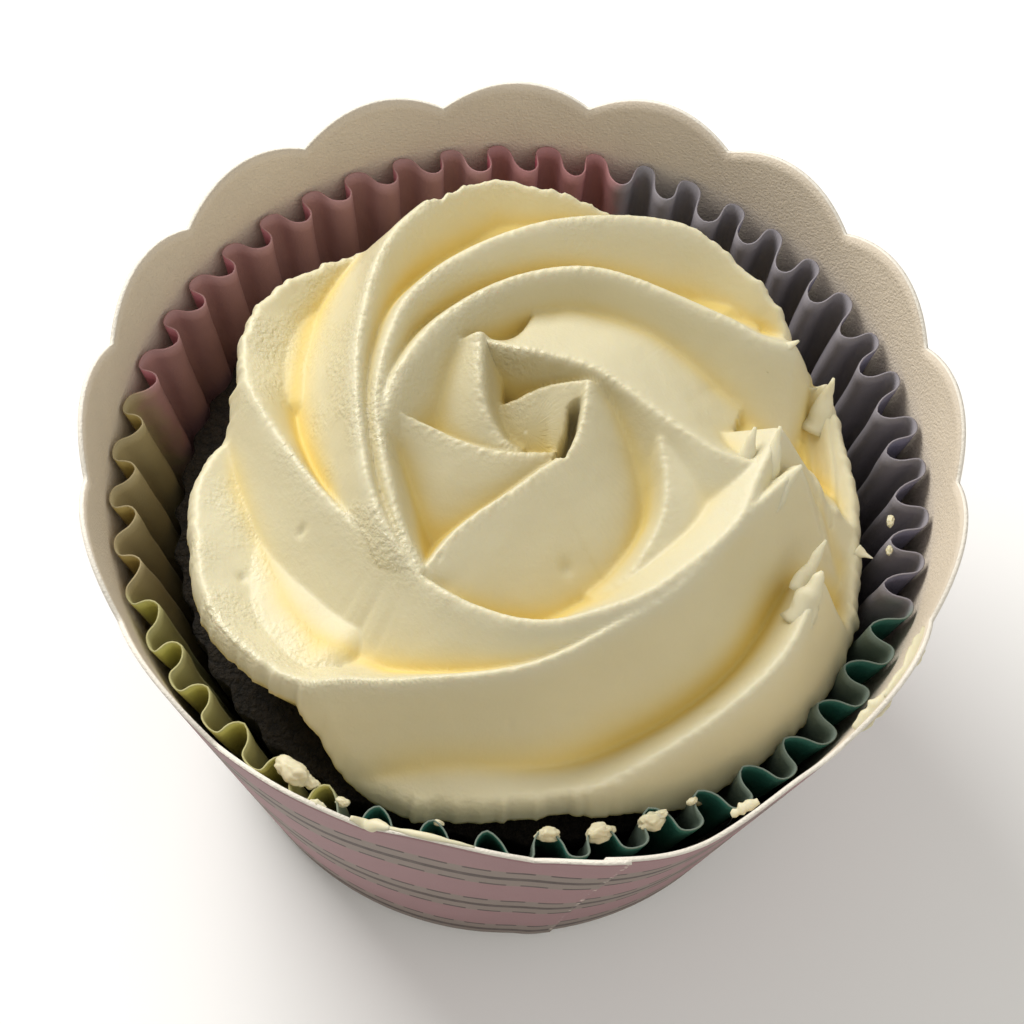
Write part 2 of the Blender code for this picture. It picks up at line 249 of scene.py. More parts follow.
def pleated_case_tree():
    """Pleated paper case: one sheet whose pleats start at the heel and deepen, lean and curl towards the top."""
    tree, v, sink = new_tree("GeometryNodeTree", "Pleated paper case", (
        ("Pleats", "Int", 47), ("Base Radius", "Float", 0.0254), ("Base Height", "Float", 0.0011),
        ("Heel Radius", "Float", 0.0266), ("Heel Height", "Float", 0.0026), ("Top Radius", "Float", 0.0351),
        ("Top Height", "Float", 0.0394), ("Heel Depth", "Float", 0.0005), ("Top Depth", "Float", 0.0028),
        ("Depth Swing", "Float", 0.0005), ("Swing Angle", "Float", 0.2), ("Lean", "Float", 0.0006),
        ("Curl", "Float", 0.0003), ("Unevenness", "Float", 0.0003), ("First Fold", "Float", -0.038), ("Columns", "Int", 941), ("Rows", "Int", 30),
        ("Material", "Material", None)), (("Geometry", "Geometry"),))
    mesh, along, up = unit_grid(tree, v["Columns"], v["Rows"])
    heel = up.ramp(0.0, 0.06, smooth=False)
    rise = up.ramp(0.06, 1.0, smooth=False)
    phase = along * TURN * v["Pleats"]
    angle = along * TURN + v["First Fold"]
    circle = combine(tree, angle.cos(), angle.sin(), rise * 0.6)
    swell = cloud(tree, circle, 6.0, 1.0, 0.5, 11.0) - 0.5
    drift = cloud(tree, circle, 5.0, 1.0, 0.5, 23.0) - 0.5
    crinkle = cloud(tree, circle, 16.0, 2.0, 0.5, 31.0) - 0.5
    sharp = 0.5 - angle.sin() * 0.3
    folded = ((phase * 0.5).cos() ** 2.0 + 0.012).math("SQRT") * 2.0 - 1.0
    wave = phase.cos() * (1.0 - sharp) + folded * sharp
    deep = v["Top Depth"] + v["Depth Swing"] * (angle - v["Swing Angle"]).cos()
    depth = heel * (v["Heel Depth"] + (deep - v["Heel Depth"]) * rise) * (1.0 + swell * 0.55)
    radius = v["Base Radius"] + (v["Heel Radius"] - v["Base Radius"]) * heel + (v["Top Radius"] - v["Heel Radius"]) * rise
    radius = radius - depth * (1.0 - wave) * 0.5 + crinkle * rise * v["Unevenness"]
    sideways = (wave * v["Lean"] * (0.5 + drift) + (phase * 2.0).sin() * v["Curl"] * (1.0 + swell * 1.5)) * rise
    angle = angle + sideways / radius + drift * 0.03 * rise
    height = v["Base Height"] + (v["Heel Height"] - v["Base Height"]) * heel
    height = height + (v["Top Height"] - v["Heel Height"]) * rise + (swell + crinkle) * rise * v["Unevenness"]
    wall = add(tree, "GeometryNodeSetPosition", {"Geometry": mesh, "Position": polar_place(tree, angle, radius, height)})
    disc = add(tree, "GeometryNodeMeshCircle", {"Vertices": v["Columns"] - 1.0, "Radius": v["Base Radius"]},
               fill_type="NGON")
    disc = add(tree, "GeometryNodeFlipFaces", {"Mesh": disc.outputs[0]})
    disc = add(tree, "GeometryNodeTransform", {"Geometry": disc.outputs[0],
                                               "Translation": combine(tree, 0.0, 0.0, v["Base Height"])})
    both = add(tree, "GeometryNodeJoinGeometry")
    for part in (disc.outputs[0], wall.outputs[0]):
        tree.links.new(part, both.inputs[0])
    whole = add(tree, "GeometryNodeMergeByDistance", {"Geometry": both.outputs[0], "Distance": 0.00001})
    return finish_tree(tree, sink, whole.outputs[0], v)


def crumbly_cake_tree():
    """Domed cake with a torn, open crumb."""
    tree, v, sink = new_tree("GeometryNodeTree", "Crumbly cake", (
        ("Base Radius", "Float", 0.0246), ("Base Height", "Float", 0.0019), ("Edge Radius", "Float", 0.0302),
        ("Edge Height", "Float", 0.0306), ("Dome", "Float", 0.0026), ("Flute", "Float", 0.0003),
        ("Pleats", "Int", 47), ("Crumb Depth", "Float", 0.0011), ("Crumb Size", "Float", 0.0022),
        ("Columns", "Int", 377), ("Rows", "Int", 150), ("Material", "Material", None)), (("Geometry", "Geometry"),))
    mesh, along, up = unit_grid(tree, v["Columns"], v["Rows"])
    bottom = up.ramp(0.0, 0.08, smooth=False)
    side = up.ramp(0.08, 0.5, smooth=False)
    top = up.ramp(0.5, 1.0, smooth=False)
    angle = along * TURN
    radius = (v["Base Radius"] + (v["Edge Radius"] - v["Base Radius"]) * side) * bottom * (1.0 - top)
    height = v["Base Height"] + (v["Edge Height"] - v["Base Height"]) * side
    height = height + v["Dome"] * (1.0 - (1.0 - top) * (1.0 - top))
    flute = (angle * v["Pleats"]).cos() * v["Flute"] * side.ramp(0.0, 0.2) * top.ramp(0.0, 0.02, 1.0, 0.0)
    place = polar_place(tree, angle, radius + flute, height)
    scaled = add(tree, "ShaderNodeVectorMath", {0: place}, operation="SCALE")
    feed(tree, scaled.inputs["Scale"], v["Crumb Size"] ** -1.0)
    lumps = cloud(tree, scaled.outputs[0], 1.0, 4.0, 0.62, 3.0) - 0.5
    keep = side.ramp(0.0, 0.06) * top.ramp(0.85, 1.0, 1.0, 0.0)
    push = lumps * v["Crumb Depth"] * keep
    outward = add(tree, "ShaderNodeVectorMath", {0: combine(tree, angle.cos(), angle.sin(), top.ramp(0.0, 0.1, 0.3, 1.6))},
                  operation="NORMALIZE")
    moved = add(tree, "ShaderNodeVectorMath", {0: outward.outputs[0]}, operation="SCALE")
    feed(tree, moved.inputs["Scale"], push)
    final = add(tree, "ShaderNodeVectorMath", {0: place, 1: moved.outputs[0]}, operation="ADD")
    body = add(tree, "GeometryNodeSetPosition", {"Geometry": mesh, "Position": final.outputs[0]})
    whole = add(tree, "GeometryNodeMergeByDistance", {"Geometry": body.outputs[0], "Distance": 0.00001})
    return finish_tree(tree, sink, whole.outputs[0], v)


def link(item):
    bpy.context.scene.collection.objects.link(item)
    return item


def grow(name, tree, sizes):
    """A plain mesh object grown by a geometry node tree with its named inputs set."""
    empty = bpy.data.meshes.new(name + "_start")
    item = link(bpy.data.objects.new(name, empty))
    shape = item.modifiers.new("Shape", "NODES")
    shape.node_group = tree
    for socket in tree.interface.items_tree:
        if socket.item_type == "SOCKET" and socket.in_out == "INPUT" and socket.name in sizes:
            shape[socket.identifier] = sizes[socket.name]
    graph = bpy.context.evaluated_depsgraph_get()
    mesh = bpy.data.meshes.new_from_object(item.evaluated_get(graph), depsgraph=graph)
    item.modifiers.remove(shape)
    item.data = mesh
    mesh.name = name
    bpy.data.meshes.remove(empty)
    return item


def thicken(item, thickness, *materials):
    """Gives a sheet its thickness on the inner side, with its own material inside and on the cut edge."""
    for material in materials:
        item.data.materials.append(material)
    wall = item.modifiers.new("Thickness", "SOLIDIFY")
    wall.thickness, wall.offset = thickness, -1.0
    wall.material_offset, wall.material_offset_rim = 1, len(materials)


# ---- surface effects shared by materials ------------------------------------------------------------------

def object_place(tree, scale=1000.0):
    """Object coordinates in millimetres."""
    source = add(tree, "ShaderNodeTexCoord")
    scaled = add(tree, "ShaderNodeVectorMath", {0: source.outputs["Object"]}, operation="SCALE")
    scaled.inputs["Scale"].default_value = scale
    return scaled.outputs[0]


def shared(name, builder):
    """The node group of that name, built the first time it is asked for."""
    return bpy.data.node_groups.get(name) or builder(name)


def paper_fibre_group(name):
    """Pulp mottling of card and paper: a tone around 1, and a fine height."""
    tree, v, sink = new_tree("ShaderNodeTree", name, (
        ("Place", "Vector", None), ("Mottle Size", "Float", 3.0), ("Mottle", "Float", 0.1),
        ("Fibre Size", "Float", 0.25)), (("Tone", "Float"), ("Height", "Float")))
    place = v["Place"].socket
    blotch = cloud(tree, place, v["Mottle Size"] ** -1.0, 4.0, 0.6, 4.0) - 0.5
    fibre = cloud(tree, place, v["Fibre Size"] ** -1.0, 2.0, 0.6, 9.0) - 0.5
    feed(tree, sink.inputs["Tone"], 1.0 + (blotch + fibre * 0.25) * v["Mottle"] * 2.0)
    feed(tree, sink.inputs["Height"], fibre + blotch * 0.5)
    return tree


def crumb_group(name):
    """Open chocolate crumb: dark holes between moist lumps; the dark of the holes is painted shade that follows the
    crumb's height.
    """
    tree, v, sink = new_tree("ShaderNodeTree", name, (
        ("Place", "Vector", None), ("Crumb Size", "Float", 0.6)), (("Lump", "Float"), ("Height", "Float")))
    cells = add(tree, "ShaderNodeTexVoronoi", {"Vector": v["Place"].socket, "Scale": v["Crumb Size"] ** -1.0})
    lump = Field(tree, cells.outputs["Distance"])
    fine = cloud(tree, v["Place"].socket, (v["Crumb Size"] ** -1.0) * 2.5, 3.0, 0.65, 7.0)
    height = fine - lump * 0.8
    feed(tree, sink.inputs["Lump"], height.ramp(-0.4, 0.5))
    feed(tree, sink.inputs["Height"], height)
    return tree


def buttercream_group(name):
    """Whipped buttercream: a soft satin skin with tiny air holes, and fine wet pebbles where it was pulled."""
    tree, v, sink = new_tree("ShaderNodeTree", name, (
        ("Place", "Vector", None), ("Pebble Size", "Float", 0.42), ("Pebbly", "Float", 0.0),
        ("Fold", "Float", 0.0)), (("Tone", "Float"), ("Roughness", "Float"), ("Height", "Float")))
    place = v["Place"].socket
    patch = cloud(tree, place, 0.16, 2.0, 0.5, 14.0).ramp(0.36, 0.6) * v["Pebbly"]
    pebble = cloud(tree, place, v["Pebble Size"] ** -1.0, 2.0, 0.5, 3.0)
    soft = cloud(tree, place, 0.3, 2.0, 0.5, 6.0)
    grain = cloud(tree, place, 4.0, 1.0, 0.5, 8.0)
    height = pebble * (0.05 + patch * 0.95) + soft * 0.5 + grain * 0.04
    feed(tree, sink.inputs["Tone"], 0.99 + (soft - 0.5) * 0.05 + (grain - 0.5) * 0.025)
    feed(tree, sink.inputs["Roughness"], 0.44 + soft * 0.12 - patch * 0.2 + v["Fold"] * 0.12)
    feed(tree, sink.inputs["Height"], height)
    return tree


def use(tree, name, builder, inputs):
    node = add(tree, "ShaderNodeGroup", node_tree=shared(name, builder))
    for key, value in inputs.items():
        feed(tree, node.inputs[key], value)
    return node


def new_material(name, **sockets):
    """A material whose even values are set on the shader itself."""
    material = bpy.data.materials.new(name)
    material.use_nodes = True
    shader = material.node_tree.nodes["Principled BSDF"]
    for key, value in sockets.items():
        shader.inputs[key.replace("_", " ")].default_value = value
    return material, material.node_tree, shader


def raise_surface(tree, shader, height, distance, strength=1.0):
    bump = add(tree, "ShaderNodeBump", {"Height": height, "Distance": distance, "Strength": strength})
    feed(tree, shader.inputs["Normal"], bump.outputs[0])


def tinted(tree, colour, tone):
    """A colour made lighter or darker by a tone around 1."""
    node = add(tree, "ShaderNodeVectorMath", operation="SCALE")
    feed(tree, node.inputs[0], colour[:3] if not isinstance(colour, bpy.types.NodeSocket) else colour)
    feed(tree, node.inputs["Scale"], tone)
    return node.outputs[0]


# ---- finishes ---------------------------------------------------------------------------------------------

def printed_card(look):
    """Pink card with ribbon bands, each a solid stitch line between two rows of dashes."""
    material, tree, shader = new_material("printed_card", Roughness=0.62)
    place = object_place(tree)
    x, y, z = split(tree, place)
    angle = y.math("ARCTAN2", x)
    fibre = use(tree, "Paper Fibre", paper_fibre_group, {"Place": place, "Mottle Size": 4.0, "Mottle": 0.08})
    waver = (cloud(tree, place, 0.35, 2.0, 0.5, 1.0) - 0.5) * 0.35
    off = (z + waver - look.ribbon_height / MM + 8.0).wrap(0.0, 16.0) - 8.0
    side = off.abs()
    band = side.ramp(3.55, 3.8, 1.0, 0.0)
    solid = side.ramp(0.55, 0.8, 1.0, 0.0)
    run = (angle * (63.0 / TURN) + off.ramp(-0.1, 0.1, 0.0, 0.4)).fraction()
    dash = run.ramp(0.02, 0.05) * run.ramp(0.68, 0.71, 1.0, 0.0) * (side - 3.3).abs().ramp(0.28, 0.4, 1.0, 0.0)
    ink = solid.math("MAXIMUM", dash)
    faded = cloud(tree, place, 1.2, 3.0, 0.6, 17.0).ramp(0.3, 0.75, 1.0, 0.72)
    ground = mix_colour(tree, band, tuple(look.card_pink), tuple(look.ribbon))
    printed = mix_colour(tree, ink * faded, ground, tuple(look.stitch))
    worn = use(tree, "Paper Fibre", paper_fibre_group, {"Place": place, "Mottle Size": 0.9, "Mottle": 1.0})
    seam = (angle - math.radians(-74.2) + (43.7 - z) * 0.0013).abs()
    torn = seam.ramp(0.002, 0.009, 1.0, 0.0) * Field(tree, worn.outputs["Tone"]).ramp(1.05, 1.25)
    printed = mix_colour(tree, torn, printed, tuple(look.card_bare))
    feed(tree, shader.inputs["Base Color"], tinted(tree, printed, fibre.outputs["Tone"]))
    raise_surface(tree, shader, fibre.outputs["Height"], 0.00012, 0.5)
    return material


def bare_card(name, look, mottle):
    """Unprinted card: the inside of the cup and its cut edge."""
    material, tree, shader = new_material(name, Roughness=0.8)
    fibre = use(tree, "Paper Fibre", paper_fibre_group, {"Place": object_place(tree), "Mottle Size": 5.0,
                                                         "Mottle": mottle})
    feed(tree, shader.inputs["Base Color"], tinted(tree, tuple(look), fibre.outputs["Tone"]))
    raise_surface(tree, shader, fibre.outputs["Height"], 0.0002, 0.7)
    return material


def sector_colour(tree, place, colours):
    """Colour fields that follow each other round the case, as (end angle in degrees, colour)."""
    x, y, _ = split(tree, place)
    waver = (cloud(tree, place, 0.5, 1.0, 0.5, 2.0) - 0.5) * 0.012
    turn = (y.math("ARCTAN2", x) / TURN + 1.0 + waver).fraction()
    node = add(tree, "ShaderNodeValToRGB", {"Fac": turn})
    ramp = node.color_ramp
    ramp.interpolation = "LINEAR"
    stops = []
    start = 0.0
    for end, colour in colours:
        stops += [(start + 0.004, colour), (end / 360.0 - 0.004, colour)]
        start = end / 360.0
    while len(ramp.elements) < len(stops):
        ramp.elements.new(0.5)
    for element, (position, colour) in zip(ramp.elements, stops):
        element.position, element.color = position, tuple(colour)[:3] + (1.0,)
    return node.outputs["Color"]


def case_paper(name, look, paleness):
    """Thin case paper, printed in colour fields outside and paler where the print only shows through."""
    material, tree, shader = new_material(name, Roughness=0.6)
    place = object_place(tree)
    fibre = use(tree, "Paper Fibre", paper_fibre_group, {"Place": place, "Mottle Size": 2.0, "Mottle": 0.1,
                                                         "Fibre Size": 0.18})
    fields = sector_colour(tree, place, (
        (78, look.case_blue), (100, look.case_red), (172, look.case_plum), (205, look.case_gold),
        (248, look.case_olive), (343, look.case_green), (360, look.case_blue)))
    if paleness:
        fields = mix_colour(tree, paleness, fields, tuple(look.case_lining))
    feed(tree, shader.inputs["Base Color"], tinted(tree, fields, fibre.outputs["Tone"]))
    raise_surface(tree, shader, fibre.outputs["Height"], 0.00008, 0.6)
    return material


def chocolate_crumb(look):
    material, tree, shader = new_material("chocolate_crumb", Roughness=0.78)
    crumb = use(tree, "Crumb", crumb_group, {"Place": object_place(tree), "Crumb Size": 0.7})
    # Painted shade: the crumb's colour darkens from its lumps down into its holes.
    feed(tree, shader.inputs["Base Color"], mix_colour(tree, Field(tree, crumb.outputs["Lump"]),
                                                       tuple(look.cake_hole_shade), tuple(look.cake_light)))
    raise_surface(tree, shader, crumb.outputs["Height"], 0.0006)
    return material


def buttercream(look):
    material, tree, shader = new_material(
        "buttercream", IOR=1.46, Subsurface_Weight=0.2, Subsurface_Scale=0.001)
    shader.inputs["Subsurface Radius"].default_value = (1.0, 0.72, 0.36)
    fold_shade, pebbly, heart_shade = (Field(tree, add(tree, "ShaderNodeAttribute", attribute_name=name).outputs["Fac"])
                           for name in ("fold_shade", "pebbly", "heart_shade"))
    skin = use(tree, "Buttercream Skin", buttercream_group, {"Place": object_place(tree), "Fold": fold_shade,
                                                              "Pebbly": pebbly})
    # Painted shade: the cream turns golden and a little darker in the folds and in the tuck under the rose, by the fold
    # attribute.
    outer = mix_colour(tree, fold_shade, tuple(look.cream), tuple(look.cream_fold_shade))
    # Painted shade: the heart of the rose is darkened towards a deep shade colour by the heart attribute.
    inner = mix_colour(tree, heart_shade * 0.62, outer, tuple(look.cream_heart_shade))
    feed(tree, shader.inputs["Base Color"], tinted(tree, inner, skin.outputs["Tone"]))
    feed(tree, shader.inputs["Roughness"], skin.outputs["Roughness"])
    raise_surface(tree, shader, skin.outputs["Height"], 0.00027)
    return material


# ---- buttercream rose ----------------------------------------------------------------------------------------
# Each petal is a ridge along stops of (angle, radius, height, outward slope, inward slope), with the depth of its
# outward and inward flanks and the roundness of its edge, and how pebbly its outward and inward faces are.
PETALS = (
    (((123, 8.2, 50.2, 0.9, 1.5), (143, 5.2, 49.2, 0.8, 1.5), (168, 3.6, 48.2, 0.7, 1.5), (210, 2.4, 47.0, 0.6, 1.4),
      (261, 2.1, 46.3, 0.6, 1.2)), (7.0, 6.0, 0.3), (0.1, 0.0)),
    (((152, 3.9, 46.3, 3.0, 0.45), (125, 2.6, 47.0, 3.0, 0.45), (67, 3.3, 48.5, 3.0, 0.45), (34, 5.5, 50.0, 2.6, 0.5)),
     (7.0, 6.0, 0.2), (0.0, 0.3)),
    (((-179, 12.2, 49.0, 0.6, 2.4), (-173, 8.8, 48.0, 0.55, 2.4), (-157, 5.8, 47.6, 0.5, 2.4),
      (-126, 3.4, 47.3, 0.5, 2.4), (-63, 2.9, 47.2, 0.5, 2.4), (-36, 3.9, 47.2, 0.5, 2.4)), (9.0, 6.0, 0.2), (0.0, 0.0)),
    (((-117, 16.3, 47.3, 0.6, 2.8), (-114, 11.4, 47.8, 0.6, 2.8), (-100, 7.4, 48.0, 0.58, 2.8),
      (-74, 5.1, 48.4, 0.56, 2.8), (-38, 4.7, 49.0, 0.56, 2.8), (-7, 4.5, 49.6, 0.58, 2.8), (14, 4.8, 50.0, 0.6, 2.8),
      (32, 5.6, 50.3, 0.8, 2.6)), (14.0, 8.0, 0.22), (0.0, 0.0)),
    (((296, 15.6, 43.6, 0.4, 0.8), (309, 15.3, 45.9, 0.3, 1.6), (326, 14.0, 47.6, 0.25, 2.6), (338, 12.7, 48.4, 0.2, 3.0),
      (349, 11.4, 49.0, 0.2, 3.0), (360, 10.7, 49.4, 0.6, 3.0)), (6.0, 7.0, 0.25), (0.2, 0.0)),
    (((-9, 18.8, 49.2, 1.2, 0.8), (-9, 15.7, 49.8, 1.1, 0.8), (0, 11.2, 50.4, 0.8, 1.5), (25, 7.4, 50.6, 0.5, 2.8),
      (48, 5.9, 50.6, 0.42, 3.0), (83, 5.2, 50.5, 0.42, 3.0), (108, 5.9, 50.2, 0.6, 3.0), (121, 7.6, 49.6, 1.8, 3.0)),
     (8.0, 8.0, 0.3), (0.2, 0.5)),
    (((25, 24.6, 46.5, 1.4, 1.3), (28, 21.7, 47.8, 1.6, 1.4), (36, 19.2, 49.0, 2.0, 1.6), (64, 15.3, 50.3, 2.4, 2.0),
      (83, 13.7, 50.5, 2.4, 2.0), (105, 12.0, 50.6, 2.4, 1.8), (136, 11.0, 50.4, 2.4, 1.3), (163, 11.1, 50.0, 2.2, 1.2),
      (179, 11.5, 49.8, 2.0, 1.4), (192, 12.1, 49.4, 2.0, 1.8)), (8.0, 7.5, 0.6), (0.3, 0.2)),
    (((31, 27.0, 41.0, 1.6, 1.3), (41, 26.9, 44.5, 1.7, 1.3), (59, 24.8, 47.5, 2.0, 1.2), (83, 19.8, 49.5, 2.4, 1.2),
      (110, 16.3, 50.2, 2.4, 1.4), (135, 14.6, 50.3, 2.4, 1.8), (155, 13.2, 50.2, 2.4, 2.2), (178, 12.4, 50.0, 2.4, 2.4),
      (199, 12.3, 49.6, 2.4, 2.8), (215, 13.0, 49.2, 2.4, 2.8), (230, 14.5, 48.5, 2.4, 2.8), (243, 16.3, 47.7, 2.4, 2.8)),
     (8.0, 8.5, 0.6), (0.8, 0.3)),
    (((77, 26.9, 42.5, 1.7, 1.3), (90, 26.3, 45.4, 1.8, 1.3), (102, 26.4, 46.5, 2.0, 1.4), (114, 24.2, 47.5, 2.2, 1.5),
      (130, 20.6, 48.8, 2.2, 1.7), (153, 16.1, 49.9, 2.0, 2.2), (175, 14.2, 50.0, 1.8, 2.6), (205, 14.1, 49.7, 1.7, 2.8),
      (219, 14.9, 49.2, 1.6, 2.8), (232, 15.8, 48.6, 1.5, 2.8), (243, 16.5, 47.8, 1.5, 2.8)), (12.0, 9.0, 0.5), (1.0, 0.3)),
    (((121, 26.3, 40.0, 1.7, 0.9), (137, 26.6, 42.0, 1.7, 0.8), (151, 27.2, 43.5, 1.7, 0.7), (164, 26.0, 44.6, 1.8, 0.7),
      (174, 23.5, 45.4, 1.6, 1.0), (188, 20.1, 46.0, 1.35, 2.0), (204, 17.9, 46.6, 1.2, 3.0), (229, 16.5, 47.3, 1.1, 3.0),
      (244, 16.8, 47.8, 1.1, 3.0), (260, 17.8, 48.4, 1.1, 3.0), (277, 18.9, 49.0, 1.2, 3.0), (293, 18.8, 49.3, 1.2, 2.2),
      (308, 18.9, 49.5, 1.3, 1.3), (332, 19.5, 49.6, 1.4, 0.8), (347, 19.6, 49.7, 1.6, 0.8), (360, 20.7, 50.0, 1.6, 0.9)),
     (13.0, 9.0, 0.35), (0.1, 1.0)),
    (((177, 24.8, 41.0, 1.6, 0.4), (189, 27.5, 42.0, 1.6, 0.35), (199, 28.6, 42.6, 1.6, 0.35), (211, 29.7, 43.2, 1.7, 0.5),
      (221, 29.9, 43.8, 1.8, 0.75), (234, 29.1, 44.8, 2.0, 1.15), (243, 26.6, 46.0, 2.1, 1.55), (251, 25.0, 46.5, 2.4, 2.0),
      (273, 22.3, 47.8, 2.5, 2.8), (290, 20.4, 48.5, 2.2, 3.0), (312, 19.6, 49.1, 1.8, 2.6), (334, 19.6, 49.4, 1.8, 2.0),
      (352, 22.6, 49.6, 2.0, 2.0)), (16.0, 8.0, 0.4), (0.05, 0.9)),
    (((239, 29.3, 37.2, 1.8, -0.5), (247, 30.4, 37.2, 1.8, -0.5), (256, 30.8, 37.4, 1.8, -0.5), (265, 30.3, 37.9, 1.8, -0.4),
      (275, 30.0, 38.8, 1.9, 0.1), (285, 29.6, 39.8, 2.0, 0.6), (296, 28.9, 41.5, 2.2, 1.2), (311, 28.5, 43.5, 2.4, 1.6),
      (323, 28.2, 44.5, 2.4, 1.7), (336, 27.2, 45.2, 2.6, 1.9)), (9.0, 7.0, 0.6), (0.2, 0.2)),
    (((264, 28.6, 34.0, 1.6, 0.0), (279, 29.9, 35.4, 1.6, 0.0), (292, 30.8, 35.9, 1.6, 0.0), (301, 31.5, 36.1, 1.6, 0.0), (318, 31.6, 36.7, 1.6, 0.1),
      (336, 31.0, 37.8, 1.6, 0.3), (356, 29.2, 39.6, 1.6, 0.6), (369, 28.1, 41.0, 1.6, 0.8), (381, 27.8, 42.5, 1.6, 1.0)),
     (8.0, 5.0, 0.5), (0.2, 0.2)),
)
FIRST_OUTER_PETAL = 7
STOP_STEPS = 14
RINGS = 138
SPOKES = 660
CAKE_TOP = 31.3
TUCK = ((-0.05, 0.06), (0.3, 0.14), (1.0, 0.32), (2.2, 0.62), (3.6, 0.90), (5.0, 1.0))
# Air holes as (x, y, size, depth), and tears as a path with its width and depth; a depth below 0 is a raised streak.
PITS = ((-17.6, -9.8, 0.35, 0.4), (4.2, -11.2, 0.55, 0.35), (-22.2, -13.3, 0.4, 0.4), (-10.3, -4.5, 0.3, 0.25),
        (0.7, -24.9, 0.3, 0.25), (16.5, -22.0, 0.3, 0.3), (-6.0, -13.0, 0.25, 0.2), (9.5, -20.8, 0.25, 0.2))
TEARS = ((((3.9, 1.2), (3.85, -0.6), (3.4, -2.0), (3.0, -3.1)), 0.42, 3.2),
         (((-15.4, -18.7), (-14.3, -19.6), (-13.3, -20.6)), 0.4, 1.6),
         (((24.0, 5.0), (24.7, 0.7), (25.4, -3.6), (26.2, -6.2)), 0.4, -0.45),
         (((24.9, 6.0), (25.6, 1.2), (26.2, -3.4)), 0.35, 0.4),
         (((25.7, 6.8), (26.6, 2.4), (27.0, -2.2)), 0.35, -0.35))


def smooth_step(start, end, value):
    t = np.clip((value - start) / (end - start), 0.0, 1.0)
    return t * t * (3.0 - 2.0 * t)


def petal_curve(stops):
    """Smooth curve through the stops of a petal edge."""
    p = np.array([(r * math.cos(math.radians(a)), r * math.sin(math.radians(a))) + tuple(rest)
                  for a, r, *rest in stops])
    p = np.vstack((2 * p[0] - p[1], p, 2 * p[-1] - p[-2]))
    spans = len(p) - 3
    place = np.linspace(0, spans, spans * STOP_STEPS + 1)
    i = np.minimum(place.astype(int), spans - 1)
    f = (place - i)[:, None]
    a, b, c, d = p[i], p[i + 1], p[i + 2], p[i + 3]
    return b + 0.5 * f * (c - a + f * (2 * a - 5 * b + 4 * c - d + f * (3 * (b - c) + d - a)))


def rose_radius(angle, curves):
    """Widest radius of the rose at an angle: a round core and the lobes of the outer petals."""
    radius = 26.9 + 2.0 * np.cos(angle + math.radians(50.0))
    start = np.linspace(1.0, 0.0, STOP_STEPS, endpoint=False)
    for curve in curves[FIRST_OUTER_PETAL:]:
        a = np.unwrap(np.arctan2(curve[:, 1], curve[:, 0]))
        r = np.hypot(curve[:, 0], curve[:, 1]) + 0.4
        a = np.concatenate((a[0] - start * math.radians(9.0), a))
        r = np.concatenate((r[0] - 3.5 * start ** 2, r))
        for turn in (-TURN, 0.0, TURN):
            radius = np.maximum(radius, np.interp(angle + turn, a, r, left=0.0, right=0.0))
    return radius


def nearest_on_curve(x, y, curve):
    """Distance to a curve, what it carries there, 1 on the inward side to 0 on the outward, and the way past its ends."""
    best, side, past = np.full(x.shape, np.inf), np.zeros(x.shape), np.zeros(x.shape)
    carried = [np.zeros(x.shape) for _ in range(curve.shape[1] - 2)]
    last = len(curve) - 2
    for k, (p, q) in enumerate(zip(curve[:-1], curve[1:])):
        along = q - p
        length = math.hypot(along[0], along[1])
        dx, dy = x - p[0], y - p[1]
        share = (dx * along[0] + dy * along[1]) / length ** 2
        t = np.clip(share, 0.0, 1.0)
        gap = np.hypot(dx - t * along[0], dy - t * along[1])
        closer = gap < best
        turn = (along[0] * dy - along[1] * dx) / (length * np.maximum(gap, 1e-6))
        over = (np.maximum(-share, 0.0) * (k == 0) + np.maximum(share - 1.0, 0.0) * (k == last)) * length
        best = np.where(closer, gap, best)
        side = np.where(closer, turn, side)
        past = np.where(closer, over, past)
        carried = [np.where(closer, p[2 + n] + t * along[2 + n], old) for n, old in enumerate(carried)]
    anticlockwise = np.sum(curve[:-1, 0] * curve[1:, 1] - curve[1:, 0] * curve[:-1, 1]) > 0
    return best, carried, smooth_step(-1.0, 1.0, side if anticlockwise else -side), past


def flank(distance, slope, depth):
    """Drop below a petal edge: straight at first, then levelling off at a depth."""
    return depth * np.tanh(slope * distance / depth)


def rose_relief(x, y, curves, sizes):
    """Height of the rose above its plan, how near a petal edge each point is, and how pebbly it is."""
    radius = np.hypot(x, y)
    top = 33.0 + 6.0 * np.sqrt(1.0 - np.clip(radius / 27.0, 0.0, 1.0) ** 4)
    edge, pebbly = np.full(x.shape, 9.0), np.zeros(x.shape)
    blend = 0.15
    for (_, (out_depth, in_depth, roundness), (out_pebbles, in_pebbles)), curve in zip(PETALS, curves):
        gap, (height, out_slope, in_slope), side, past = nearest_on_curve(x, y, curve)
        soft = np.sqrt(gap ** 2 + roundness ** 2) - roundness
        spent = 0.1 * soft + 1.2 * np.maximum(gap - 9.0, 0.0) + 1.3 * past
        layer = height - spent - side * flank(soft, in_slope, in_depth) - (1.0 - side) * flank(soft, out_slope, out_depth)
        joined = np.logaddexp(top / blend, layer / blend) * blend
        # Outside its own edge a petal covers what it stands above, so nothing behind it shows through.
        covers = (1.0 - side) * (1.0 - smooth_step(0.0, 2.5, past)) * smooth_step(0.0, 1.5, height - top)
        after = covers * layer + (1.0 - covers) * joined
        mine = np.abs(after - layer) <= np.abs(after - top)
        edge = np.where(mine, gap, edge)
        pebbly = np.where(mine, side * in_pebbles + (1.0 - side) * out_pebbles, pebbly)
        top = after
    return top, edge, pebbly


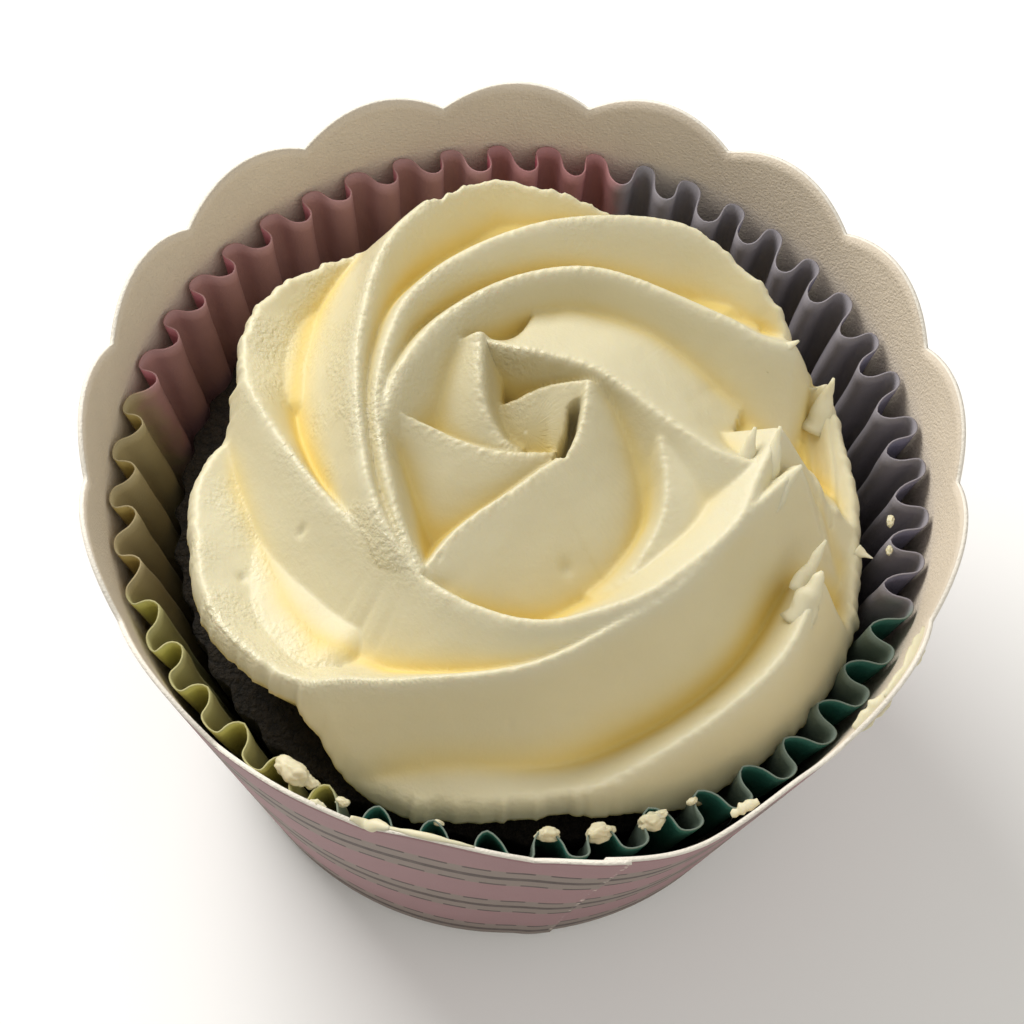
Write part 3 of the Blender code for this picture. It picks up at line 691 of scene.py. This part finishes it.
def sky_share(height, spacing, reach):
    """How much of the sky each point of a raster of heights sees, from 0 deep in a fold to 1 in the open."""
    share = np.zeros(height.shape)
    for turn in np.arange(16) * TURN / 16:
        horizon = np.zeros(height.shape)
        for step in np.arange(1, int(reach / spacing) + 1):
            dx, dy = int(round(step * math.cos(turn))), int(round(step * math.sin(turn)))
            run = spacing * math.hypot(dx, dy)
            if run > 0.0:
                horizon = np.maximum(horizon, (np.roll(height, (-dy, -dx), axis=(0, 1)) - height) / run)
        share += 1.0 / (1.0 + horizon ** 2)
    return share / 16.0


def blurred(height, spread):
    """A raster smoothed by a bell of that spread in cells."""
    reach = int(3 * spread)
    bell = np.exp(-0.5 * (np.arange(-reach, reach + 1) / spread) ** 2)
    for axis in (0, 1):
        height = np.apply_along_axis(lambda row: np.convolve(np.pad(row, reach, "edge"), bell / bell.sum(), "valid"),
                                     axis, height)
    return height


def fold_depth(x, y, curves, sizes):
    """How deep in a fold each point is, and how closed in, read from a raster of the relief."""
    spacing, half = 0.4, 34.0
    ticks = np.arange(-half, half + spacing, spacing)
    px, py = np.meshgrid(ticks, ticks)
    height = rose_relief(px.ravel(), py.ravel(), curves, sizes)[0].reshape(px.shape)
    closed = 1.0 - sky_share(height, spacing, 12.0)
    hollow = blurred(height, 1.6 / spacing) - height
    u, v = (x + half) / spacing, (y + half) / spacing
    i, j = np.clip(u.astype(int), 0, len(ticks) - 2), np.clip(v.astype(int), 0, len(ticks) - 2)
    u, v = u - i, v - j
    return [(1 - u) * (1 - v) * f[j, i] + u * (1 - v) * f[j, i + 1] + (1 - u) * v * f[j + 1, i] + u * v * f[j + 1, i + 1]
            for f in (hollow, closed)]


def carve(x, y, top):
    """Air holes, torn slits and pulled streaks in the surface."""
    for px, py, size, depth in PITS:
        top = top - depth * np.exp(-((x - px) ** 2 + (y - py) ** 2) / size ** 2)
    for stops, width, depth in TEARS:
        gap = nearest_on_curve(x, y, np.array(stops))[0]
        top = top - depth * np.exp(-(gap / width) ** 4)
    return top


def ripple(points, scale, seed, octaves=2):
    """Smooth noise around 0 at each point, in millimetres."""
    shift = Vector((seed * 7.3, seed * 3.1, seed * 5.7))
    return np.array([noise.fractal(Vector(p) * scale + shift, 1.0, 2.0, octaves) for p in points])


def rose_mesh(name, sizes):
    curves = [petal_curve(stops) for stops, _, _ in PETALS]
    angle = np.arange(SPOKES) * TURN / SPOKES
    wide = rose_radius(angle, curves)
    rim = np.stack((np.cos(angle), np.sin(angle), np.zeros(SPOKES)), axis=1)
    wide = wide + 0.24 * ripple(rim, 14.0, 1, 3) + 0.10 * ripple(rim, 48.0, 2, 3)
    wide = wide + 0.45 * np.maximum(ripple(rim, 30.0, 5, 2) - 0.2, 0.0)
    share = 1.0 - (1.0 - np.arange(1, RINGS + 1) / RINGS) ** 1.15
    radius = share[:, None] * wide[None, :]
    x, y = radius * np.cos(angle), radius * np.sin(angle)
    flat = np.stack((x.ravel(), y.ravel(), np.zeros(x.size)), axis=1)
    top, edge, pebbly = (f.reshape(x.shape) for f in rose_relief(x.ravel(), y.ravel(), curves, sizes))
    # Where the outermost petal bends back on itself, its two slopes are eased into each other.
    bend = np.exp(-((x + 12.2) ** 2 + (y + 18.8) ** 2) / 3.0 ** 2)
    top = top + bend * (blurred(top, 5.0) - top)
    top = carve(x, y, top)
    crest = np.exp(-(edge / 0.45) ** 2)
    top = top + crest * 0.14 * ripple(flat, 2.0, 3).reshape(x.shape) + 0.10 * ripple(flat, 0.22, 4).reshape(x.shape)
    centre = float(top[0].mean())
    inset = np.clip((wide[None, :] - radius) / 1.3, 0.0, 1.0)
    near = rose_relief((wide - 0.9) * rim[:, 0], (wide - 0.9) * rim[:, 1], curves, sizes)[0]
    bell = np.hanning(25)
    lip = np.convolve(np.concatenate((near[-12:], near, near[:12])), bell / bell.sum(), "valid")
    lip = np.clip(lip - 2.4, 34.4, 42.5)
    height = lip + np.maximum(top - lip, 0.2) * np.sqrt(1.0 - (1.0 - inset) ** 2)
    hollow, closed = fold_depth(x, y, curves, sizes)
    # Painted shade: the fold mask grows in hollows and where the folds close out the sky, standing in for the warm
    # shade and bounced light there.
    fold_shade = np.clip(0.65 * smooth_step(0.05, 1.6, hollow) + 0.5 * smooth_step(0.1, 0.7, closed), 0.0, 1.0)
    # Painted shade: the heart mask darkens the cream towards the middle of the rose, more where the folds close it in.
    heart_shade = np.exp(-(radius / 14.0) ** 2) * (0.3 + 0.7 * smooth_step(0.02, 0.34, closed))
    left = np.clip(0.5 - np.cos(angle - math.radians(-10.0)), 0.15, 1.0)
    pebbly = np.clip(pebbly + 0.4 * np.exp(-(edge / 1.2) ** 2), 0.0, 1.0) * left * (1.0 - fold_shade)
    points = [(0.0, 0.0, centre)] + list(zip(x.ravel(), y.ravel(), height.ravel()))
    fold_shades = [0.0] + list(fold_shade.ravel())
    heart_shades = np.zeros(1 + x.size + len(TUCK) * SPOKES + 1)
    heart_shades[1:1 + x.size] = heart_shade.ravel()
    for inward, share in TUCK:
        points += [((w - inward) * c, (w - inward) * s, low + (CAKE_TOP - low) * share)
                   for w, c, s, low in zip(wide, rim[:, 0], rim[:, 1], lip)]
        # The tucked rim under the rose gets painted shade from the fold mask too.
        fold_shades += [0.6] * SPOKES
    points.append((0.0, 0.0, CAKE_TOP + 1.3))
    fold_shades.append(0.6)
    rings = RINGS + len(TUCK)
    faces = [(0, 1 + j, 1 + (j + 1) % SPOKES) for j in range(SPOKES)]
    for i in range(rings - 1):
        near, far = 1 + i * SPOKES, 1 + (i + 1) * SPOKES
        faces += [(near + j, far + j, far + (j + 1) % SPOKES, near + (j + 1) % SPOKES) for j in range(SPOKES)]
    last = 1 + (rings - 1) * SPOKES
    faces += [(last + (j + 1) % SPOKES, last + j, len(points) - 1) for j in range(SPOKES)]
    mesh = bpy.data.meshes.new(name)
    mesh.from_pydata([(px * MM, py * MM, pz * MM) for px, py, pz in points], [], faces)
    mesh.attributes.new("fold_shade", "FLOAT", "POINT").data.foreach_set("value", fold_shades)
    mesh.attributes.new("heart_shade", "FLOAT", "POINT").data.foreach_set("value", heart_shades)
    tucked = np.zeros(len(points) - 1 - pebbly.size)
    mesh.attributes.new("pebbly", "FLOAT", "POINT").data.foreach_set("value", np.concatenate(([0.0], pebbly.ravel(), tucked)))
    mesh.shade_smooth()
    return mesh


# ---- drawn-out tails and smears --------------------------------------------------------------------------------
# Each strand is stops of (x, y, z, half width), then its flatness: 1 is round, less lies flat on what is under it.
TAILS = (
    (((19.0, -5.2, 46.8, 1.3), (19.8, -3.5, 48.2, 1.05), (20.3, -2.0, 49.5, 0.6), (20.6, -0.2, 50.7, 0.12)), 0.55),
    (((17.4, -3.6, 47.6, 0.8), (18.0, -2.4, 48.6, 0.75), (18.3, -1.3, 49.7, 0.45), (18.6, -0.3, 50.4, 0.15)), 0.5),
    (((20.0, -6.2, 47.4, 1.1), (21.2, -4.6, 48.8, 0.75), (22.5, -3.3, 50.0, 0.14)), 0.6),
    (((23.2, -14.2, 43.2, 1.3), (23.9, -12.8, 44.7, 1.1), (24.4, -11.7, 45.7, 0.7), (24.8, -10.9, 46.4, 0.14)), 0.7),
    (((23.2, -11.6, 43.8, 0.9), (24.1, -9.8, 45.1, 0.6), (25.1, -8.0, 46.4, 0.1)), 0.6),
    (((24.9, 6.2, 39.8, 1.3), (25.6, 7.8, 41.6, 0.8), (26.1, 9.4, 43.7, 0.12)), 0.6),
    (((19.6, 9.3, 45.4, 1.0), (21.1, 10.1, 46.3, 0.6), (22.6, 10.8, 46.9, 0.1)), 0.7),
    (((29.0, -4.6, 38.6, 0.8), (29.7, -5.0, 38.8, 0.3), (30.3, -5.3, 38.9, 0.08)), 0.6),
)
# Blobs left on the pleat tips: (angle, radius, height, half width, seed).
BLOBS = ((-119, 33.4, 39.7, 1.25, 3), (-116.4, 33.3, 39.3, 0.7, 4), (-111, 33.5, 39.2, 0.5, 5), (-97.6, 32.6, 39.1, 0.35, 6),
         (-82.3, 32.8, 39.2, 0.75, 8), (-75.2, 33.1, 39.2, 0.95, 9), (-67.8, 33.2, 39.3, 0.95, 10), (-66.4, 33.0, 39.6, 0.5, 15),
         (-61.5, 32.8, 39.4, 0.4, 11), (-3, 31.8, 39.2, 0.45, 12), (-8, 32.0, 39.1, 0.4, 13))
# Smears along the rim of the cup: (start angle, end angle, drop below the rim, half width, flatness, seed).
RIM_SMEARS = ((-107.5, -102.5, -0.1, 0.5, 0.7, 1), (-103.0, -92.0, -0.05, 0.24, 0.7, 2), (-60.0, -56.5, 0.9, 0.5, 0.5, 3),
              (-40.0, -33.0, 0.9, 0.75, 0.35, 4), (-35.0, -22.0, 0.7, 0.55, 0.35, 5), (-112.5, -110.5, 0.1, 0.28, 0.6, 6))


def rim_place(angle, drop, sizes):
    """A point on the inner side of the cup's rim, in millimetres, a drop below its top."""
    across = (angle * sizes.scallops / TURN) % 1.0 * 2.0 - 1.0
    notch = CUP_HIGH.z - sizes.scallop_rise
    height = notch + sizes.scallop_rise * (1.0 - across * across) - drop * MM
    radius = sizes.base_radius + (sizes.notch_radius - sizes.base_radius) * height / notch - sizes.card
    dent = 0.0005 * (1.0 - smooth_step(0.0, 0.3, abs(angle + 1.76)))
    return [v / MM for v in ((radius - dent) * math.cos(angle), (radius - dent) * math.sin(angle), height)]


def strand(stops, flatness, seed, sides=12, steps=5):
    """A lumpy strand of buttercream through its stops, closed at both ends."""
    p = np.array(stops, dtype=float)
    p = np.vstack((2 * p[0] - p[1], p, 2 * p[-1] - p[-2]))
    spans = len(p) - 3
    place = np.linspace(0, spans, spans * steps + 1)
    i = np.minimum(place.astype(int), spans - 1)
    f = (place - i)[:, None]
    a, b, c, d = p[i], p[i + 1], p[i + 2], p[i + 3]
    path = b + 0.5 * f * (c - a + f * (2 * a - 5 * b + 4 * c - d + f * (3 * (b - c) + d - a)))
    along = np.gradient(path[:, :3], axis=0)
    points, faces = [tuple(path[0, :3])], []
    for row, tangent in zip(path, along):
        tangent = Vector(tangent).normalized()
        side = tangent.cross(Vector((0.0, 0.0, 1.0))).normalized()
        up = side.cross(tangent)
        for k in range(sides):
            turn = TURN * k / sides
            reach = (side * math.cos(turn) + up * math.sin(turn) * flatness) * max(float(row[3]), 0.05)
            spot = Vector(row[:3]) + reach
            points.append(tuple(spot + reach * 0.35 * noise.fractal(spot * 0.9 + Vector((seed * 5.1, 0, 0)), 1.0, 2.0, 2)))
    points.append(tuple(path[-1, :3]))
    rows = len(path)
    for k in range(sides):
        after = (k + 1) % sides
        faces.append((0, 1 + after, 1 + k))
        faces += [(1 + r * sides + k, 1 + r * sides + after, 1 + (r + 1) * sides + after, 1 + (r + 1) * sides + k)
                  for r in range(rows - 1)]
        faces.append((len(points) - 1, 1 + (rows - 1) * sides + k, 1 + (rows - 1) * sides + after))
    return points, faces


def blob(angle, radius, height, size, seed):
    """An uneven dab of buttercream on a pleat tip, wider than it is high, as a lumpy closed ball."""
    turn = math.radians(angle)
    across, outward = Vector((-math.sin(turn), math.cos(turn), 0.0)), Vector((math.cos(turn), math.sin(turn), 0.0))
    centre = Vector((radius * math.cos(turn), radius * math.sin(turn), height))
    ball = bmesh.new()
    bmesh.ops.create_icosphere(ball, subdivisions=4, radius=1.0)
    points = []
    for vert in ball.verts:
        way = vert.co.copy()
        lump = 1.0 + 0.32 * noise.fractal(way * 1.3 + Vector((seed * 5.3, 0, 0)), 1.0, 2.0, 3)
        low = 1.0 + 0.35 * max(-way.z, 0.0)
        points.append(tuple(centre + (across * way.x * 1.15 * low + outward * way.y * 0.7 * low
                                      + Vector((0.0, 0.0, way.z * 0.72))) * (size * lump)))
    faces = [tuple(v.index for v in face.verts) for face in ball.faces]
    ball.free()
    return points, faces


def rim_smear(start, end, drop, size, flatness, seed, sizes):
    """A thin uneven smear along the inner side of the rim."""
    stops = []
    for k, share in enumerate(np.linspace(0.0, 1.0, 9)):
        wide = size * (0.15 + 0.85 * math.sin(math.pi * min(max(share, 0.04), 0.96)) ** 0.6)
        wide *= 1.0 + 0.45 * noise.noise(Vector((seed * 3.7, k * 0.8, 0.0)))
        stops.append(tuple(rim_place(math.radians(start + (end - start) * share), drop, sizes)) + (wide,))
    return strand(stops, flatness, seed, 12, 3)


def joined_mesh(name, parts):
    """One mesh from loose parts given in millimetres."""
    points, faces = [], []
    for part_points, part_faces in parts:
        faces += [tuple(len(points) + k for k in face) for face in part_faces]
        points += [(x * MM, y * MM, z * MM) for x, y, z in part_points]
    mesh = bpy.data.meshes.new(name)
    mesh.from_pydata(points, [], faces)
    mesh.shade_smooth()
    shell = bmesh.new()
    shell.from_mesh(mesh)
    bmesh.ops.recalc_face_normals(shell, faces=shell.faces)
    shell.to_mesh(mesh)
    shell.free()
    return mesh


# ---- add-on: sizes, looks, steps, panel -------------------------------------------------------------------------

def colour(name, description, value):
    return FloatVectorProperty(name=name, description=description, subtype="COLOR", size=4, min=0.0, max=1.0,
                               default=tuple(value) + (1.0,))


def length(name, description, value):
    return FloatProperty(name=name, description=description, default=value, unit="LENGTH", precision=5)


class CupcakeSizes(bpy.types.PropertyGroup):
    """Sizes of the cup, the case and the cake."""

    scallops: IntProperty(name="Scallops", description="Scallops cut in the rim of the card cup", default=17, min=3)
    scallop_rise: length("Scallop rise", "Height of a scallop above the notches", 0.0024)
    notch_radius: length("Rim radius", "Outside radius of the cup at the notches", 0.0368)
    base_radius: length("Base radius", "Outside radius of the cup at its base", 0.0281)
    card: length("Card", "Thickness of the card", 0.0004)
    pleats: IntProperty(name="Pleats", description="Pleats round the paper case", default=47, min=8)
    pleat_depth: length("Pleat depth", "Depth of the pleats at the top of the case", 0.0028)
    paper: length("Paper", "Thickness of the case paper", 0.00014)
    crumb_depth: length("Crumb depth", "Depth of the holes in the cake's crumb", 0.0011)


class CupcakeLooks(bpy.types.PropertyGroup):
    """Colours of each finish."""

    card_pink: colour("Card pink", "Ground of the printed card", (0.30, 0.165, 0.17))
    ribbon: colour("Ribbon", "Ribbon bands on the card", (0.235, 0.185, 0.155))
    stitch: colour("Stitch lines", "Lines and dashes on the ribbon bands", (0.045, 0.022, 0.018))
    card_bare: colour("Bare card", "Inside of the card cup", (0.68, 0.595, 0.49))
    card_edge: colour("Cut edge", "Cut edge of the card", (0.80, 0.75, 0.66))
    ribbon_height: length("Ribbon height", "Height of the top ribbon band's solid line", 0.03445)
    case_blue: colour("Case blue", "Blue field of the paper case", (0.19, 0.185, 0.27))
    case_red: colour("Case red", "Red field of the paper case", (0.46, 0.10, 0.15))
    case_plum: colour("Case plum", "Plum field of the paper case", (0.50, 0.18, 0.22))
    case_gold: colour("Case gold", "Gold field of the paper case", (0.44, 0.34, 0.11))
    case_olive: colour("Case olive", "Olive field of the paper case", (0.54, 0.52, 0.15))
    case_green: colour("Case green", "Green field of the paper case", (0.016, 0.125, 0.10))
    case_lining: colour("Case lining", "Inside of the case paper", (0.30, 0.27, 0.23))
    # Painted shade: the colour of the crumb deep in its holes.
    cake_hole_shade: colour("Cake hole shade", "Painted shade in the holes of the crumb", (0.005, 0.004, 0.0025))
    cake_light: colour("Cake crumb", "Crumb of the cake", (0.030, 0.021, 0.012))
    cream: colour("Buttercream", "Buttercream", (0.66, 0.61, 0.425))
    # Painted shade: the golden colour that the cream is mixed towards deep in the folds.
    cream_fold_shade: colour("Buttercream fold shade", "Painted shade of the buttercream deep in the folds", (0.74, 0.555, 0.145))
    # Painted shade: the dark colour that the heart of the rose is mixed towards.
    cream_heart_shade: colour("Cream heart shade", "Painted shade of the buttercream deep in the heart of the rose", (0.34, 0.27, 0.11))


class CUPCAKE_OT_card_cup(bpy.types.Operator):
    """Rolls the scalloped card cup."""

    bl_idname = "cupcake.card_cup"
    bl_label = "Card Cup"

    def execute(self, context):
        sizes, looks = context.scene.cupcake_sizes, context.scene.cupcake_looks
        columns = 24 * sizes.scallops
        cup = grow("card_cup", card_wall_tree(), {
            "Base Radius": sizes.base_radius, "Notch Radius": sizes.notch_radius,
            "Notch Height": CUP_HIGH.z - sizes.scallop_rise, "Scallops": sizes.scallops,
            "Scallop Rise": sizes.scallop_rise, "Card": sizes.card, "Seam Angle": math.radians(-74.12),
            "Overlap": TURN * 3 / columns, "Columns": columns + 4, "Material": printed_card(looks)})
        thicken(cup, sizes.card, bare_card("card_inside", looks.card_bare, 0.09),
                bare_card("card_cut_edge", looks.card_edge, 0.12))
        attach(cup, BODY)
        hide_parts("cup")
        return {"FINISHED"}


class CUPCAKE_OT_pleated_case(bpy.types.Operator):
    """Folds the pleated paper case."""

    bl_idname = "cupcake.pleated_case"
    bl_label = "Pleated Case"

    def execute(self, context):
        sizes, looks = context.scene.cupcake_sizes, context.scene.cupcake_looks
        case = grow("pleated_case", pleated_case_tree(), {
            "Pleats": sizes.pleats, "Top Radius": CASE_HIGH.x, "Top Height": CASE_HIGH.z,
            "Base Height": CASE_LOW.z, "Top Depth": sizes.pleat_depth, "Columns": 20 * sizes.pleats + 1,
            "Material": case_paper("case_paper_printed", looks, 0.0)})
        thicken(case, sizes.paper, case_paper("case_paper_lining", looks, 0.45))
        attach(case, BODY)
        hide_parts("paper_case")
        return {"FINISHED"}


class CUPCAKE_OT_chocolate_cake(bpy.types.Operator):
    """Bakes the crumbly chocolate cake."""

    bl_idname = "cupcake.chocolate_cake"
    bl_label = "Chocolate Cake"

    def execute(self, context):
        sizes, looks = context.scene.cupcake_sizes, context.scene.cupcake_looks
        cake = grow("chocolate_cake", crumbly_cake_tree(), {
            "Base Height": CAKE_LOW.z, "Pleats": sizes.pleats, "Crumb Depth": sizes.crumb_depth,
            "Material": chocolate_crumb(looks)})
        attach(cake, BODY)
        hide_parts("cake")
        return {"FINISHED"}


class CUPCAKE_OT_buttercream_rose(bpy.types.Operator):
    """Pipes the buttercream rose."""

    bl_idname = "cupcake.buttercream_rose"
    bl_label = "Buttercream Rose"

    def execute(self, context):
        sizes, looks = context.scene.cupcake_sizes, context.scene.cupcake_looks
        rose = link(bpy.data.objects.new("buttercream_rose", rose_mesh("buttercream_rose", sizes)))
        rose.data.materials.append(buttercream(looks))
        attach(rose, BODY)
        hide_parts("frosting")
        return {"FINISHED"}


class CUPCAKE_OT_tails_and_smears(bpy.types.Operator):
    """Draws out the buttercream's tails, and leaves its smears on the case and the cup."""

    bl_idname = "cupcake.tails_and_smears"
    bl_label = "Tails and Smears"

    def execute(self, context):
        sizes = context.scene.cupcake_sizes
        cream = bpy.data.materials["buttercream"]
        tails = [strand(stops, flatness, seed) for seed, (stops, flatness) in enumerate(TAILS)]
        smears = [blob(*spot) for spot in BLOBS] + [rim_smear(*run, sizes) for run in RIM_SMEARS]
        for name, parts in (("piped_tails", tails), ("buttercream_smears", smears)):
            piece = link(bpy.data.objects.new(name, joined_mesh(name, parts)))
            piece.data.materials.append(cream)
            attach(piece, BODY)
        return {"FINISHED"}


class CUPCAKE_OT_studio(bpy.types.Operator):
    """Sets up the pale floor, the soft lights and the camera."""

    bl_idname = "cupcake.studio"
    bl_label = "Studio"

    def execute(self, context):
        scene = context.scene
        floor = bpy.data.meshes.new("studio_floor")
        floor.from_pydata([(x, y, -0.00005) for x, y in ((-3, -3), (3, -3), (3, 3), (-3, 3))], [], [(0, 1, 2, 3)])
        floor = link(bpy.data.objects.new("studio_floor", floor))
        material, _, _ = new_material("studio_floor", Roughness=0.9, Base_Color=(0.94, 0.94, 0.935, 1.0))
        floor.data.materials.append(material)
        world = bpy.data.worlds.new("studio_world")
        world.use_nodes = True
        world.node_tree.nodes["Background"].inputs["Color"].default_value = (1.0, 0.975, 0.92, 1.0)
        world.node_tree.nodes["Background"].inputs["Strength"].default_value = 0.49
        scene.world = world
        for name, place, size, power in (("key_light", (-0.17, 0.18, 0.27), 0.20, 1.28),
                                         ("fill_light", (0.28, -0.16, 0.36), 0.4, 0.50)):
            lamp = bpy.data.lights.new(name, "AREA")
            lamp.size, lamp.energy, lamp.color = size, power, (1.0, 0.985, 0.95)
            lamp = link(bpy.data.objects.new(name, lamp))
            aim = Vector((0.0, 0.0, 0.04)) - Vector(place)
            lamp.matrix_world = Matrix.Translation(place) @ aim.to_track_quat("-Z", "Y").to_matrix().to_4x4()
        elevation, distance = math.radians(61.197), 0.19723
        back = Vector((0.0, -math.cos(elevation), math.sin(elevation)))
        right = Vector((1.0, 0.0, 0.0))
        turn = Matrix((right, back.cross(right), back)).transposed().to_4x4()
        camera = bpy.data.cameras.new("camera")
        camera.sensor_width, camera.lens, camera.clip_start = 36.0, 78.14, 0.001
        camera = link(bpy.data.objects.new("camera", camera))
        camera.matrix_world = (Matrix.Translation(Vector((-0.000565, 0.0, 0.032085)) + back * distance) @ turn
                               @ Matrix.Rotation(0.08386, 4, "Z"))
        scene.camera = camera
        scene.view_settings.view_transform = "Standard"
        return {"FINISHED"}


class CUPCAKE_PT_panel(bpy.types.Panel):
    """Lists the sizes, the colours and the steps."""

    bl_idname = "CUPCAKE_PT_panel"
    bl_label = "Cupcake"
    bl_space_type = "VIEW_3D"
    bl_region_type = "UI"
    bl_category = "Cupcake"

    def draw(self, context):
        for group in (context.scene.cupcake_sizes, context.scene.cupcake_looks):
            box = self.layout.box()
            for name in group.__annotations__:
                box.prop(group, name)
        for step in STEPS:
            self.layout.operator(step.bl_idname)


GROUPS = (CupcakeSizes, CupcakeLooks)
STEPS = (CUPCAKE_OT_card_cup, CUPCAKE_OT_pleated_case, CUPCAKE_OT_chocolate_cake, CUPCAKE_OT_buttercream_rose,
         CUPCAKE_OT_tails_and_smears, CUPCAKE_OT_studio)


def register():
    for part in GROUPS + STEPS + (CUPCAKE_PT_panel,):
        bpy.utils.register_class(part)
    bpy.types.Scene.cupcake_sizes = PointerProperty(type=CupcakeSizes)
    bpy.types.Scene.cupcake_looks = PointerProperty(type=CupcakeLooks)


def unregister():
    del bpy.types.Scene.cupcake_looks
    del bpy.types.Scene.cupcake_sizes
    for part in reversed(GROUPS + STEPS + (CUPCAKE_PT_panel,)):
        bpy.utils.unregister_class(part)


def main():
    register()
    bpy.ops.cupcake.card_cup()
    bpy.ops.cupcake.pleated_case()
    bpy.ops.cupcake.chocolate_cake()
    bpy.ops.cupcake.buttercream_rose()
    bpy.ops.cupcake.tails_and_smears()
    bpy.ops.cupcake.studio()


if __name__ == "__main__":
    main()
